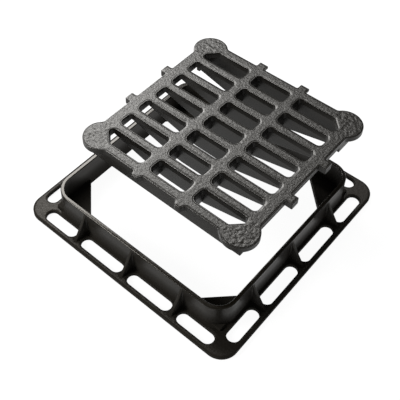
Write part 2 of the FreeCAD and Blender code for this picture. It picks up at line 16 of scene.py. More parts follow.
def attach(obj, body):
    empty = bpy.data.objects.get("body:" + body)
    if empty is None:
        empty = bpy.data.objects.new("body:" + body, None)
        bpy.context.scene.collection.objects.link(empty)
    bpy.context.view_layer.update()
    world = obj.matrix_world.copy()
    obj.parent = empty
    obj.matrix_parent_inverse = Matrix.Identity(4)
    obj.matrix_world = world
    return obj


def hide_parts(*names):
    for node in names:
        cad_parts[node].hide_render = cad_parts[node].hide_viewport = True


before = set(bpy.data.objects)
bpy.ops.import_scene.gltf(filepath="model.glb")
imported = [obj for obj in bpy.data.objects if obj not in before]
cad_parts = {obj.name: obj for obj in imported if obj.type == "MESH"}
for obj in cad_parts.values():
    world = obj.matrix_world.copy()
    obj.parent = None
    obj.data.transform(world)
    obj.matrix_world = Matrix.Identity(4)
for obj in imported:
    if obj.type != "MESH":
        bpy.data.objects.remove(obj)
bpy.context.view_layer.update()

MM = 0.001
GRAIN = "grain"

# Points nearer than this are one point, and a hair is the least size or gap of a form.
TOUCHING = 1e-6
HAIR = 0.02

# How finely curves and straight runs are cut.
LEAST_CUTS = 2
CUT_DEGREES = 15
CUT_LENGTH = 2.6
ROUND_CUTS = 4
SLOT_CUTS = 2
FOOT_CUTS = 3
LONG_STEP = 6.0
FINE_STEP = 3.5
ONE_RUN = 1000.0

# How points are spread over a grained face.
SPREAD_SEED = 7
SPREAD_SHAKE = 0.22
EDGE_GAP = 0.6
EDGE_SAMPLE = 0.1
CHUNK = 4000

# Noise of the grain and of the coat.
OCTAVES = 2.0
NOISE_ROUGHNESS = 0.55
NOISE_DISTORTION = 0.4
NOISE_MIDDLE = 0.5
FACE_WEIGHT = 60

Point = tuple[float, float]
Place = tuple[float, float, float]
Thing = bpy.types.Object
Socket = bpy.types.NodeSocket
Material = bpy.types.Material

logger = logging.getLogger("gully_grate")


class Direction(Enum):
    """Way that a flat cap faces."""

    UP = 1
    DOWN = -1


def quarter_turned(x: float, y: float, quarters: int) -> Point:
    """Point after some anticlockwise quarter turns about the centre."""
    return ((x, y), (-y, x), (-x, -y), (y, -x))[quarters % 4]


def quarter_angles(cuts: int = ROUND_CUTS) -> list[float]:
    """Angles that cut a quarter circle into equal runs."""
    return [math.pi / 2 * i / cuts for i in range(cuts + 1)]


@dataclass(frozen=True)
class Arc:
    """Rounded corner of an outline, in degrees; a negative turn is a hollow corner."""

    x: float
    y: float
    radius: float
    start: float
    turn: float

    def at(self, share: float, grow: float = 0.0) -> Point:
        """Point part of the way along the arc, on the outline grown by a distance.

        Args:
            share: How far along the arc, from 0 to 1.
            grow: How far the outline is moved outwards.

        Returns:
            The point's two coordinates.
        """
        angle = math.radians(self.start + share * self.turn)
        size = self.radius + (grow if self.turn > 0 else -grow)
        return (self.x + size * math.cos(angle), self.y + size * math.sin(angle))

    def cuts(self) -> int:
        """Number of straight runs that stand for the arc."""
        length = math.radians(abs(self.turn)) * self.radius
        return max(LEAST_CUTS, math.ceil(abs(self.turn) / CUT_DEGREES),
                   math.ceil(length / CUT_LENGTH))

    def mirrored(self) -> "Arc":
        """The same corner on the other side of the Y axis."""
        return Arc(-self.x, self.y, self.radius, 180 - self.start - self.turn, self.turn)

    def turned(self, quarters: int) -> "Arc":
        """The same corner after some quarter turns about the centre."""
        x, y = quarter_turned(self.x, self.y, quarters)
        return Arc(x, y, self.radius, self.start + 90 * quarters, self.turn)


@dataclass(frozen=True)
class Outline:
    """Closed outline that runs anticlockwise through its corners, joined by straight lines."""

    arcs: tuple[Arc, ...]
    step: float = LONG_STEP

    def ring(self, grow: float = 0.0) -> list[Point]:
        """Points round the outline, as many and in the same order whatever it grows by.

        Args:
            grow: How far the outline is moved outwards.

        Returns:
            The points in order.
        """
        points: list[Point] = []
        for arc, following in zip(self.arcs, self.arcs[1:] + self.arcs[:1]):
            cuts = arc.cuts()
            gap = math.dist(arc.at(1), following.at(0))
            points += [arc.at(i / cuts, grow) for i in range(cuts + (gap > TOUCHING))]
            runs = max(1, round(gap / self.step))
            start, stop = arc.at(1, grow), following.at(0, grow)
            for i in range(1, runs):
                share = i / runs
                points.append((start[0] + share * (stop[0] - start[0]),
                               start[1] + share * (stop[1] - start[1])))
        return points

    def mirrored(self) -> "Outline":
        """The same outline on the other side of the Y axis."""
        return Outline(tuple(arc.mirrored() for arc in reversed(self.arcs)), self.step)

    def turned(self, quarters: int) -> "Outline":
        """The same outline after some quarter turns about the centre."""
        return Outline(tuple(arc.turned(quarters) for arc in self.arcs), self.step)


def rounded_box(left: float, right: float, low: float, high: float, radius: float,
                step: float = LONG_STEP) -> Outline:
    """Rectangle with rounded corners.

    Args:
        left, right, low, high: Places of the four edges.
        radius: Corner radius.
        step: Longest straight run between two points.

    Returns:
        The outline.
    """
    return Outline((
        Arc(right - radius, low + radius, radius, -90, 90),
        Arc(right - radius, high - radius, radius, 0, 90),
        Arc(left + radius, high - radius, radius, 90, 90),
        Arc(left + radius, low + radius, radius, 180, 90),
    ), step)


def rounding(radius: float, height: float, cuts: int = ROUND_CUTS) -> list[Point]:
    """Growth and height round an upper edge, from the upright face to the top."""
    return [(radius * (math.cos(a) - 1), height + radius * (math.sin(a) - 1))
            for a in quarter_angles(cuts)]


def hollow(radius: float, height: float, face: float = 0.0) -> list[Point]:
    """Growth and height in a hollow root, from a flat top to the face that stands on it."""
    return [(face + radius * (1 - math.sin(a)), height + radius * (1 - math.cos(a)))
            for a in quarter_angles()]


def linked(thing: Thing) -> Thing:
    """Put an object into the scene."""
    bpy.context.scene.collection.objects.link(thing)
    return thing


class Shell:
    """Closed skin that grows from rings of points, bands between them and caps."""

    def __init__(self) -> None:
        """Start with no points and no faces."""
        self.points: list[Place] = []
        self.faces: list[tuple[int, ...]] = []
        self.grain: dict[int, float] = {}

    def ring(self, points: Iterable[Point], height: float | Sequence[float]) -> list[int]:
        """Add a ring of points at one height, or each at its own.

        Args:
            points: The ring's points in plan.
            height: One height, or one for each point.

        Returns:
            The numbers of the new points.
        """
        points = list(points)
        heights = [height] * len(points) if isinstance(height, (int, float)) else height
        first = len(self.points)
        self.points += [(x, y, z) for (x, y), z in zip(points, heights)]
        return list(range(first, len(self.points)))

    def plug(self, ring: Sequence[int], facing: Direction) -> None:
        """Close a ring with one flat face."""
        self.faces.append(tuple(ring) if facing is Direction.UP else tuple(reversed(ring)))

    def stack(self, rings: Sequence[Sequence[int]], plugged: bool = True) -> None:
        """Join rings by bands that face outwards as the rings rise.

        Args:
            rings: The rings in order.
            plugged: Whether the first and the last ring are closed too.
        """
        for ring, following in zip(rings, rings[1:]):
            for i in range(len(ring)):
                j = (i + 1) % len(ring)
                self.faces.append((ring[i], ring[j], following[j], following[i]))
        if plugged:
            self.plug(rings[0], Direction.DOWN)
            self.plug(rings[-1], Direction.UP)

    def tower(self, outline: Outline, levels: Sequence[Point],
              plugged: bool = False) -> tuple[list[int], list[int]]:
        """Skin through an outline's rings at several levels.

        Args:
            outline: Outline of every ring.
            levels: Pairs of growth and height.
            plugged: Whether both ends are closed.

        Returns:
            The first and the last ring.
        """
        rings = [self.ring(outline.ring(grow), height) for grow, height in levels]
        self.stack(rings, plugged)
        return rings[0], rings[-1]

    def cap(self, rings: Sequence[Sequence[int]], facing: Direction,
            grain: "Grain | None" = None) -> None:
        """Close the flat area between an outer ring and the holes in it.

        Args:
            rings: The outer ring and then the holes' rings.
            facing: Way that the cap looks.
            grain: Grain that the cap gets points for, or None for a plain cap.
        """
        owners = [number for ring in rings for number in ring]
        flat = [self.points[number][:2] for number in owners]
        edges: list[tuple[int, int]] = []
        first = 0
        for ring in rings:
            size = len(ring)
            edges += [(first + i, first + (i + 1) % size) for i in range(size)]
            first += size
        starts = np.array([flat[a] for a, _ in edges])
        stops = np.array([flat[b] for _, b in edges])
        height = self.points[owners[0]][2]
        if grain:
            for point, gap in zip(*spread_points(starts, stops, grain.spacing)):
                number = len(self.points)
                self.points.append((point[0], point[1], height))
                self.grain[number] = min(1.0, gap / grain.fade)
                owners.append(number)
                flat.append((point[0], point[1]))
        places, _, triangles, sources, _, _ = geometry.delaunay_2d_cdt(
            [Vector(point) for point in flat], edges, [], 0, TOUCHING, True)
        corners = np.array(places)[np.array(triangles)]
        for triangle, kept in zip(triangles, enclosed(corners.mean(axis=1), starts, stops)):
            if kept:
                self.plug([owners[sources[i][0]] for i in triangle], facing)

    def build(self, name: str, place: Matrix | None = None) -> Thing:
        """Make the object that the skin stands for, in metres.

        Args:
            name: Name of the object and its mesh.
            place: Where the skin's own axes lie, in millimetres.

        Returns:
            The object, linked to the scene.
        """
        points = np.array(self.points)
        if place is not None:
            turn = np.array(place)
            points = points @ turn[:3, :3].T + turn[:3, 3]
        mesh = bpy.data.meshes.new(name)
        mesh.from_pydata((points * MM).tolist(), [], self.faces)
        attribute = mesh.attributes.new(GRAIN, "FLOAT", "POINT")
        values = np.zeros(len(self.points))
        if self.grain:
            values[list(self.grain)] = list(self.grain.values())
        attribute.data.foreach_set("value", values)
        mesh.validate()
        return linked(bpy.data.objects.new(name, mesh))


def enclosed(points: np.ndarray, starts: np.ndarray, stops: np.ndarray) -> np.ndarray:
    """Whether points lie in the area between closed edges.

    Args:
        points: The points.
        starts: First point of each edge.
        stops: Last point of each edge.

    Returns:
        One truth value for each point.
    """
    level = starts[:, 1] == stops[:, 1]
    drop = np.where(level, 1.0, stops[:, 1] - starts[:, 1])
    results = []
    for chunk in np.array_split(points, max(1, len(points) // CHUNK)):
        x, y = chunk[:, 0][:, None], chunk[:, 1][:, None]
        spans = (starts[:, 1] > y) != (stops[:, 1] > y)
        crossing = starts[:, 0] + (y - starts[:, 1]) / drop * (stops[:, 0] - starts[:, 0])
        results.append((spans & (x < crossing)).sum(axis=1) % 2 == 1)
    return np.concatenate(results)


def spread_points(starts: np.ndarray, stops: np.ndarray,
                  spacing: float) -> tuple[np.ndarray, np.ndarray]:
    """Spread points over the area between closed edges, clear of the edges.

    Args:
        starts: First point of each edge.
        stops: Last point of each edge.
        spacing: Distance between neighbouring points.

    Returns:
        The points and each one's distance to the nearest edge.
    """
    low, high = starts.min(axis=0), starts.max(axis=0)
    rows = np.arange(low[1], high[1], spacing * math.sqrt(3) / 2)
    across, along = np.meshgrid(np.arange(low[0], high[0], spacing), rows)
    across = across + spacing / 2 * (np.arange(len(rows)) % 2)[:, None]
    points = np.stack([across.ravel(), along.ravel()], axis=1)
    shakes = np.random.default_rng(SPREAD_SEED).uniform(-SPREAD_SHAKE, SPREAD_SHAKE, points.shape)
    points += shakes * spacing
    inside = points[enclosed(points, starts, stops)]
    samples = np.concatenate([starts + share * (stops - starts)
                              for share in np.arange(0, 1, EDGE_SAMPLE)])
    tree = kdtree.KDTree(len(samples))
    for number, sample in enumerate(samples):
        tree.insert((*sample, 0.0), number)
    tree.balance()
    gaps = np.array([tree.find((*point, 0.0))[2] for point in inside])
    clear = gaps > spacing * EDGE_GAP
    return inside[clear], gaps[clear]


class NodeTree:
    """Node tree that is built node by node."""

    def __init__(self, tree: bpy.types.NodeTree) -> None:
        """Work in a tree of Blender's."""
        self.tree = tree

    def add(self, kind: str, links: dict[str | int, object], **settings: object) -> bpy.types.Node:
        """Add a node, set it up and connect it.

        Args:
            kind: Type name of the node.
            links: Socket or plain value for each input, by name or place.
            settings: Properties of the node.

        Returns:
            The node.
        """
        node = self.tree.nodes.new(kind)
        for name, setting in settings.items():
            setattr(node, name, setting)
        for key, value in links.items():
            if isinstance(value, Socket):
                self.tree.links.new(value, node.inputs[key])
            else:
                node.inputs[key].default_value = value
        return node

    def math(self, operation: str, *values: object) -> Socket:
        """Result of a sum on sockets or plain numbers."""
        return self.add("ShaderNodeMath", dict(enumerate(values)), operation=operation).outputs[0]


class ShapeTree(NodeTree):
    """Geometry Nodes tree that starts from one shape and ends in another."""

    def __init__(self, name: str) -> None:
        """Start a tree with one geometry input and one geometry output.

        Args:
            name: Name of the tree.
        """
        super().__init__(bpy.data.node_groups.new(name, "GeometryNodeTree"))
        for way in ("INPUT", "OUTPUT"):
            self.tree.interface.new_socket("Geometry", in_out=way,
                                           socket_type="NodeSocketGeometry")
        self.source = self.tree.nodes.new("NodeGroupInput")
        self.target = self.tree.nodes.new("NodeGroupOutput")
        self.shape = self.source.outputs["Geometry"]

    def size(self, name: str, kind: str) -> Socket:
        """Add a named input of a kind, such as Float, Int or Vector, and return its socket."""
        self.tree.interface.new_socket(name, in_out="INPUT", socket_type=f"NodeSocket{kind}")
        return self.source.outputs[name]

    def end(self, shape: Socket, material: Material) -> None:
        """End the tree: make the copies real and give them their material.

        Args:
            shape: Socket that holds the finished geometry.
            material: Material of all that the tree makes.
        """
        real = self.add("GeometryNodeRealizeInstances", {"Geometry": shape})
        dressed = self.add("GeometryNodeSetMaterial",
                           {"Geometry": real.outputs[0], "Material": material})
        self.tree.links.new(dressed.outputs[0], self.target.inputs[0])

    def apply(self, thing: Thing, sizes: dict[str, object]) -> Thing:
        """Run the tree on an object and keep the result as its plain mesh.

        Args:
            thing: Object that the tree starts from.
            sizes: Value of each named input.

        Returns:
            The same object with its new mesh.
        """
        modifier = thing.modifiers.new(self.tree.name, "NODES")
        modifier.node_group = self.tree
        sockets = {item.name: item.identifier for item in self.tree.interface.items_tree}
        for name, value in sizes.items():
            modifier[sockets[name]] = value
        return keep_result(thing)


def keep_result(thing: Thing) -> Thing:
    """Turn an object with its modifiers into a plain mesh.

    Args:
        thing: Object with live modifiers.

    Returns:
        The same object, with no modifier left.
    """
    graph = bpy.context.evaluated_depsgraph_get()
    mesh = bpy.data.meshes.new_from_object(thing.evaluated_get(graph), depsgraph=graph)
    mesh.name = thing.name
    thing.modifiers.clear()
    thing.data = mesh
    return thing


def repeated(thing: Thing, name: str, material: Material, turns: int = 1,
             count: int = 1, pitch: Place = (0.0, 0.0, 0.0)) -> Thing:
    """Set copies of a shape in a row about the centre, and turn the row about it.

    Args:
        thing: The shape.
        name: Name of the tree that repeats it.
        material: Material of the copies.
        turns: Number of equal turns.
        count: Number of copies in the row.
        pitch: Step from one copy to the next.

    Returns:
        The same object with its new mesh.
    """
    tree = ShapeTree(name)
    copies, rows = tree.size("Count", "Int"), tree.size("Turns", "Int")
    step, first = tree.size("Pitch", "Vector"), tree.size("First", "Vector")
    line = tree.add("GeometryNodeMeshLine",
                    {"Count": copies, "Start Location": first, "Offset": step})
    row = tree.add("GeometryNodeInstanceOnPoints",
                   {"Points": line.outputs[0], "Instance": tree.shape})
    centre = tree.add("GeometryNodeMeshLine", {"Count": rows, "Offset": (0.0, 0.0, 0.0)})
    number = tree.add("GeometryNodeInputIndex", {}).outputs[0]
    angle = tree.math("MULTIPLY", tree.math("DIVIDE", math.tau, rows), number)
    upright = tree.add("ShaderNodeCombineXYZ", {"Z": angle})
    ring = tree.add("GeometryNodeInstanceOnPoints", {
        "Points": centre.outputs[0], "Instance": row.outputs[0],
        "Rotation": upright.outputs[0]})
    tree.end(ring.outputs[0], material)
    metres = [part * MM for part in pitch]
    return tree.apply(thing, {"Count": count, "Turns": turns, "Pitch": metres,
                              "First": [-part * (count - 1) / 2 for part in metres]})


@dataclass(frozen=True)
class Grain:
    """Cast grain of an upper face, and a leathery grain where its attribute is over 1."""

    height: float
    size: float
    seed: float
    spacing: float
    fade: float
    leather_height: float = 0.0
    leather_size: float = 6.5

    def raise_on(self, thing: Thing, name: str, material: Material) -> Thing:
        """Raise the points of a casting that carry the grain attribute.

        Args:
            thing: The casting.
            name: Name of the tree that raises them.
            material: The casting's finish.

        Returns:
            The same casting with its new mesh.
        """
        tree = ShapeTree(name)
        sizes = {"Height": self.height * MM, "Size": self.size * MM, "Seed": self.seed,
                 "Leather Height": self.leather_height * MM,
                 "Leather Size": self.leather_size * MM}
        height, size, seed, leather_height, leather_size = (
            tree.size(label, "Float") for label in sizes)
        place = tree.add("GeometryNodeInputPosition", {}).outputs[0]
        mask = tree.add("GeometryNodeInputNamedAttribute", {"Name": GRAIN},
                        data_type="FLOAT").outputs[0]

        def layer(tall: Socket, wide: Socket, share: Socket) -> Socket:
            """Height of one noise.

            Args:
                tall: Height between its lowest and highest point.
                wide: Size of its grains.
                share: How much of it shows at a point.

            Returns:
                The height to add at a point.
            """
            noise = tree.add("ShaderNodeTexNoise", {
                "Vector": place, "W": seed, "Scale": tree.math("DIVIDE", 1.0, wide),
                "Detail": OCTAVES, "Roughness": NOISE_ROUGHNESS,
                "Distortion": NOISE_DISTORTION}, noise_dimensions="4D").outputs[0]
            centred = tree.math("SUBTRACT", noise, NOISE_MIDDLE)
            return tree.math("MULTIPLY", tree.math("MULTIPLY", centred, share), tall)

        plain = tree.math("MINIMUM", mask, 1.0)
        extra = tree.math("SUBTRACT", mask, plain)
        rise = tree.math("ADD", layer(height, size, plain),
                         layer(leather_height, leather_size, extra))
        offset = tree.add("ShaderNodeCombineXYZ", {"Z": rise})
        raised = tree.add("GeometryNodeSetPosition",
                          {"Geometry": tree.shape, "Offset": offset.outputs[0]})
        tree.end(raised.outputs[0], material)
        return tree.apply(thing, sizes)


def unite(base: Thing, parts: Sequence[Thing]) -> Thing:
    """Cast several closed shapes into one.

    Args:
        base: Shape that the others are added to.
        parts: Shapes that are used up.

    Returns:
        The base, as one closed mesh.
    """
    for part in parts:
        modifier = base.modifiers.new(part.name, "BOOLEAN")
        modifier.operation = "UNION"
        modifier.solver = "MANIFOLD"
        modifier.object = part
    keep_result(base)
    for part in parts:
        mesh = part.data
        bpy.data.objects.remove(part)
        bpy.data.meshes.remove(mesh)
    return base


def soften(thing: Thing, angle: float) -> Thing:
    """Shade a casting smooth between its sharp edges, led by its large faces.

    Args:
        thing: The casting.
        angle: Angle in degrees from which an edge stays sharp.

    Returns:
        The same casting.
    """
    thing.data.shade_smooth()
    thing.data.set_sharp_from_angle(angle=math.radians(angle))
    modifier = thing.modifiers.new("face_led_normals", "WEIGHTED_NORMAL")
    modifier.keep_sharp = True
    modifier.weight = FACE_WEIGHT
    return keep_result(thing)


class ShaderTree(NodeTree):
    """Shader nodes of one finish."""

    def noise(self, place: Socket, size: float, detail: float) -> Socket:
        """Noise whose patches have a size in millimetres."""
        return self.add("ShaderNodeTexNoise", {
            "Vector": place, "Scale": 1 / (size * MM), "Detail": detail,
            "Roughness": NOISE_ROUGHNESS}).outputs[0]

    def profile(self, value: Socket, stops: Sequence[Point]) -> Socket:
        """Number that runs in straight lines through pairs of a value and a result.

        Args:
            value: The value, from 0 to 1.
            stops: The pairs, in order.

        Returns:
            The result.
        """
        node = self.add("ShaderNodeValToRGB", {0: value})
        marks = node.color_ramp.elements
        while len(marks) < len(stops):
            marks.new(stops[-1][0])
        for mark, (place, result) in zip(marks, stops):
            mark.position = place
            mark.color = (result, result, result, 1.0)
        return node.outputs[0]

    def ramp(self, value: Socket, low: float, high: float) -> Socket:
        """Smooth step from 0 to 1 between two values."""
        return self.add("ShaderNodeMapRange", {0: value, 1: low, 2: high},
                        interpolation_type="SMOOTHSTEP").outputs[0]


@dataclass(frozen=True)
class CastIron:
    """Black bitumen coat on cast iron, smooth on the sides and grained on flat upper faces."""

    name: str
    dark: Place
    light: Place
    tint: Place
    gloss: float
    side_roughness: tuple[Point, ...]
    top_roughness: float
    grain_size: float
    grain_depth: float
    side_spread: float = 0.08
    top_spread: float = 0.3
    fine_size: float = 0.3
    fine_share: float = 0.25
    patch_size: float = 28.0
    peel_size: float = 6.0
    peel_depth: float = 0.004
    mask_low: float = 0.1
    mask_high: float = 0.9
    refraction: float = 1.5
    tallest: float = 200.0

    def material(self) -> Material:
        """Build the finish's node tree.

        Returns:
            The material.
        """
        material = bpy.data.materials.new(self.name)
        material.use_nodes = True
        material.node_tree.nodes.clear()
        tree = ShaderTree(material.node_tree)
        place = tree.add("ShaderNodeTexCoord", {}).outputs["Object"]
        mask = tree.add("ShaderNodeAttribute", {}, attribute_name=GRAIN).outputs["Fac"]
        top = tree.ramp(mask, self.mask_low, self.mask_high)
        height = tree.add("ShaderNodeSeparateXYZ", {0: place}).outputs["Z"]
        patches = tree.noise(place, self.patch_size, detail=3.0)
        coarse = tree.noise(place, self.grain_size, detail=3.0)
        fine = tree.noise(place, self.grain_size * self.fine_size, detail=4.0)
        peel = tree.noise(place, self.peel_size, detail=2.0)
        colour = tree.add("ShaderNodeMix", {
            "Factor": patches, 6: (*self.dark, 1.0), 7: (*self.light, 1.0)}, data_type="RGBA")
        profile = tree.profile(tree.math("DIVIDE", height, self.tallest * MM),
                               [(z / self.tallest, rough) for z, rough in self.side_roughness])
        side_rough = tree.math("MULTIPLY_ADD", patches, self.side_spread,
                               tree.math("SUBTRACT", profile, self.side_spread / 2))
        top_rough = tree.math("MULTIPLY_ADD", coarse, self.top_spread,
                              self.top_roughness - self.top_spread / 2)
        roughness = tree.add("ShaderNodeMix", {"Factor": top, 2: side_rough, 3: top_rough},
                             data_type="FLOAT")
        grain = tree.math("ADD", tree.math("MULTIPLY", coarse, 1 - self.fine_share),
                          tree.math("MULTIPLY", fine, self.fine_share))
        grained = tree.math("MULTIPLY", grain,
                            tree.math("MULTIPLY", top, self.grain_depth * MM))
        relief = tree.math("MULTIPLY_ADD", peel, self.peel_depth * MM, grained)
        bump = tree.add("ShaderNodeBump", {"Strength": 1.0, "Distance": 1.0, "Height": relief})
        shader = tree.add("ShaderNodeBsdfPrincipled", {
            "Base Color": colour.outputs[2], "Roughness": roughness.outputs[0],
            "Metallic": 0.0, "IOR": self.refraction, "Specular IOR Level": self.gloss,
            "Specular Tint": (*self.tint, 1.0), "Normal": bump.outputs[0]})
        tree.add("ShaderNodeOutputMaterial", {"Surface": shader.outputs[0]})
        return material


FRAME_IRON = CastIron(
    name="frame_iron", dark=(0.003, 0.0024, 0.0016), light=(0.006, 0.0048, 0.0032),
    tint=(1.0, 0.95, 0.87), gloss=0.2,
    side_roughness=((10.0, 0.95), (25.0, 0.8), (45.0, 0.45), (61.0, 0.4), (63.0, 0.16)),
    top_roughness=0.5, grain_size=4.0, grain_depth=0.8)
GRATE_IRON = CastIron(
    name="grate_iron", dark=(0.003, 0.0026, 0.002), light=(0.006, 0.0052, 0.004),
    tint=(1.0, 0.98, 0.94), gloss=0.27,
    side_roughness=((121.0, 0.42), (150.0, 0.42), (166.0, 0.4), (168.0, 0.27)),
    top_roughness=0.34, grain_size=4.5, grain_depth=1.0)


@dataclass
class FrameCasting:
    """Square frame: a flange with bedding slots, an upright wall, gussets and corner seats."""

    opening: float = 202.0
    opening_corner: float = 33.0
    wall: float = 8.0
    height: float = 65.0
    rim_round: float = 1.8
    flange_edge: float = 250.0
    flange_corner: float = 35.0
    flange: float = 9.0
    flange_round: float = 1.8
    root: float = 4.0
    slot_line: float = 228.0
    slot_half: float = 13.0
    slot_spans: tuple[Point, ...] = ((8.5, 111.5), (128.5, 208.5))
    slot_round: float = 0.9
    gusset_pitch: float = 120.0
    gusset_half: float = 3.0
    gusset_toe: float = 239.0
    gusset_toe_height: float = 2.0
    gusset_top: float = 60.0
    gusset_root: float = 3.0
    gusset_round: float = 1.5
    gusset_hollow: float = 1.2
    gusset_sink: float = 2.0
    gusset_levels: tuple[float, ...] = (0.1, 0.25, 0.4, 0.55, 0.7, 0.8, 0.88, 0.94, 1.0)
    root_share: float = 0.8
    root_gap: float = 0.05
    buried_round: float = 0.4
    seat_leg: float = 86.0
    seat_height: float = 14.0
    seat_round: float = 1.5
    seat_edge: float = 0.3
    lower_round: float = 0.6
    sharp_from: float = 32.0
    grain: Grain = Grain(height=0.45, size=5.0, seed=3.0, spacing=2.6, fade=2.0)
    material: Material = field(default_factory=FRAME_IRON.material)

    def build(self) -> Thing:
        """Cast the frame in one piece, dressed and smoothed."""
        body = unite(self.body(), (self.gussets(), self.seats()))
        return soften(body, self.sharp_from)

    def bedding_slots(self) -> list[Outline]:
        """Outlines of the bedding slots on all four sides.

        Returns:
            The outlines, side by side.
        """
        outlines = []
        for start, stop in self.slot_spans:
            for first, last in ((start, stop), (-stop, -start)):
                outlines.append(Outline((
                    Arc(last - self.slot_half, -self.slot_line, self.slot_half, -90, 180),
                    Arc(first + self.slot_half, -self.slot_line, self.slot_half, 90, 180),
                )))
        return [outline.turned(quarter) for quarter in range(4) for outline in outlines]

    def body(self) -> Thing:
        """Make flange and wall in one skin, with the grain raised on the flange.

        Returns:
            The closed skin.
        """
        shell = Shell()
        low, foot = self.lower_round, self.flange
        edge, side = self.flange_edge, self.opening
        flange = rounded_box(-edge, edge, -edge, edge, self.flange_corner)
        opening = rounded_box(-side, side, -side, side, self.opening_corner)
        under, over = shell.tower(
            flange, [(-low, 0), (0, low), *rounding(self.flange_round, foot)])
        rim = rounding(self.rim_round, self.height)
        outer = [(self.wall + grow, z) for grow, z in rim]
        inner = [(-grow, z) for grow, z in reversed(rim)]
        root, throat = shell.tower(
            opening, [*hollow(self.root, foot, self.wall), *outer, *inner, (0, low), (low, 0)])
        brim = [(-grow, z) for grow, z in reversed(rounding(self.slot_round, foot, SLOT_CUTS))]
        ends = [shell.tower(outline, [*brim, (0, low), (low, 0)])
                for outline in self.bedding_slots()]
        shell.cap([over, root, *(top for top, _ in ends)], Direction.UP, self.grain)
        shell.cap([under, throat, *(bottom for _, bottom in ends)], Direction.DOWN)
        return self.grain.raise_on(shell.build("frame_casting"), "flange_grain", self.material)

    def gussets(self) -> Thing:
        """Make three gussets on each side, with flared roots and rounded sloping edges.

        Returns:
            All twelve gussets.
        """
        shell = Shell()
        wall = self.opening + self.wall
        inside = wall - self.wall / 2
        toe_top = self.flange + self.gusset_toe_height
        rise = self.gusset_top - toe_top
        levels = [(self.gusset_root, self.flange - self.gusset_sink)]
        levels += hollow(self.gusset_root, self.flange)
        levels += [(0.0, toe_top + rise * share) for share in self.gusset_levels]
        rings = []
        for grow, height in levels:
            share = max(0.0, (height - toe_top) / rise)
            tip = self.gusset_toe + (wall - self.gusset_toe) * share
            tip -= 4 * self.gusset_hollow * share * (1 - share)
            room = tip - self.gusset_round - wall
            root = min(self.gusset_root, max(HAIR, self.root_share * room))
            root = max(root, grow + self.root_gap)
            section = self.gusset_section(inside, wall, tip, root)
            rings.append(shell.ring(section.ring(grow), height))
        shell.stack(rings)
        return repeated(shell.build("gussets"), "gusset_rows", self.material, turns=4, count=3,
                        pitch=(0.0, self.gusset_pitch, 0.0))

    def gusset_section(self, inside: float, wall: float, tip: float, root: float) -> Outline:
        """Plan of a gusset at one height.

        Args:
            inside: Where the section ends within the wall.
            wall: The wall's outer face.
            tip: Where the gusset ends at this height.
            root: Radius of the hollow against the wall.

        Returns:
            The outline, with as many corners at every height.
        """
        half, small, buried = self.gusset_half, self.gusset_round, self.buried_round
        reach = half + self.gusset_root
        return Outline((
            Arc(wall + root, -half - root, root, 180, -90),
            Arc(tip - small, -half + small, small, -90, 90),
            Arc(tip - small, half - small, small, 0, 90),
            Arc(wall + root, half + root, root, -90, -90),
            Arc(inside + buried, reach - buried, buried, 90, 90),
            Arc(inside + buried, buried - reach, buried, 180, 90),
        ), ONE_RUN)

    def seats(self) -> Thing:
        """Make the triangular seat in each inner corner.

        Returns:
            All four seats.
        """
        shell = Shell()
        deep = self.opening + self.wall / 2
        reach = self.opening - self.seat_leg
        small = self.wall / 4
        tip = reach - self.wall / 2 + small * (1 + math.sqrt(2))
        outline = Outline((
            Arc(deep - small, tip, small, -135, 135),
            Arc(deep - small, deep - small, small, 0, 90),
            Arc(tip, deep - small, small, 90, 135),
        ), ONE_RUN)
        low = self.lower_round
        shell.tower(outline, [(-self.seat_edge, low / 2), (0, low),
                              *rounding(self.seat_round, self.seat_height)], plugged=True)
        return repeated(shell.build("seats"), "corner_seats", self.material, turns=4)


@dataclass(frozen=True)
class Lug:
    """Lug on a side of the plate, with a narrowing plan."""

    reach: float
    foot_width: float
    end_width: float
    tip: float
    root: float

    def corners(self, edge: float, middle: float) -> tuple[Arc, ...]:
        """Corners of the lug on the side towards +X.

        Args:
            edge: Distance from the centre to the plate's edge.
            middle: The lug's place along the side.

        Returns:
            Its two roots and two tips.
        """
        half = self.foot_width / 2
        lean = math.atan2(half - self.end_width / 2, self.reach)
        slope, upright = math.sin(lean), math.cos(lean)
        root_gap = half + self.root * (1 - slope) / upright
        tip_gap = half - (self.tip + (self.reach - self.tip) * slope) / upright
        turn, rest = 90 - math.degrees(lean), math.degrees(lean)
        root_line, tip_line = edge + self.root, edge + self.reach - self.tip
        return (
            Arc(root_line, middle - root_gap, self.root, 180, -turn),
            Arc(tip_line, middle - tip_gap, self.tip, rest - 90, turn),
            Arc(tip_line, middle + tip_gap, self.tip, 0, turn),
            Arc(root_line, middle + root_gap, self.root, -90 - rest, -turn),
        )


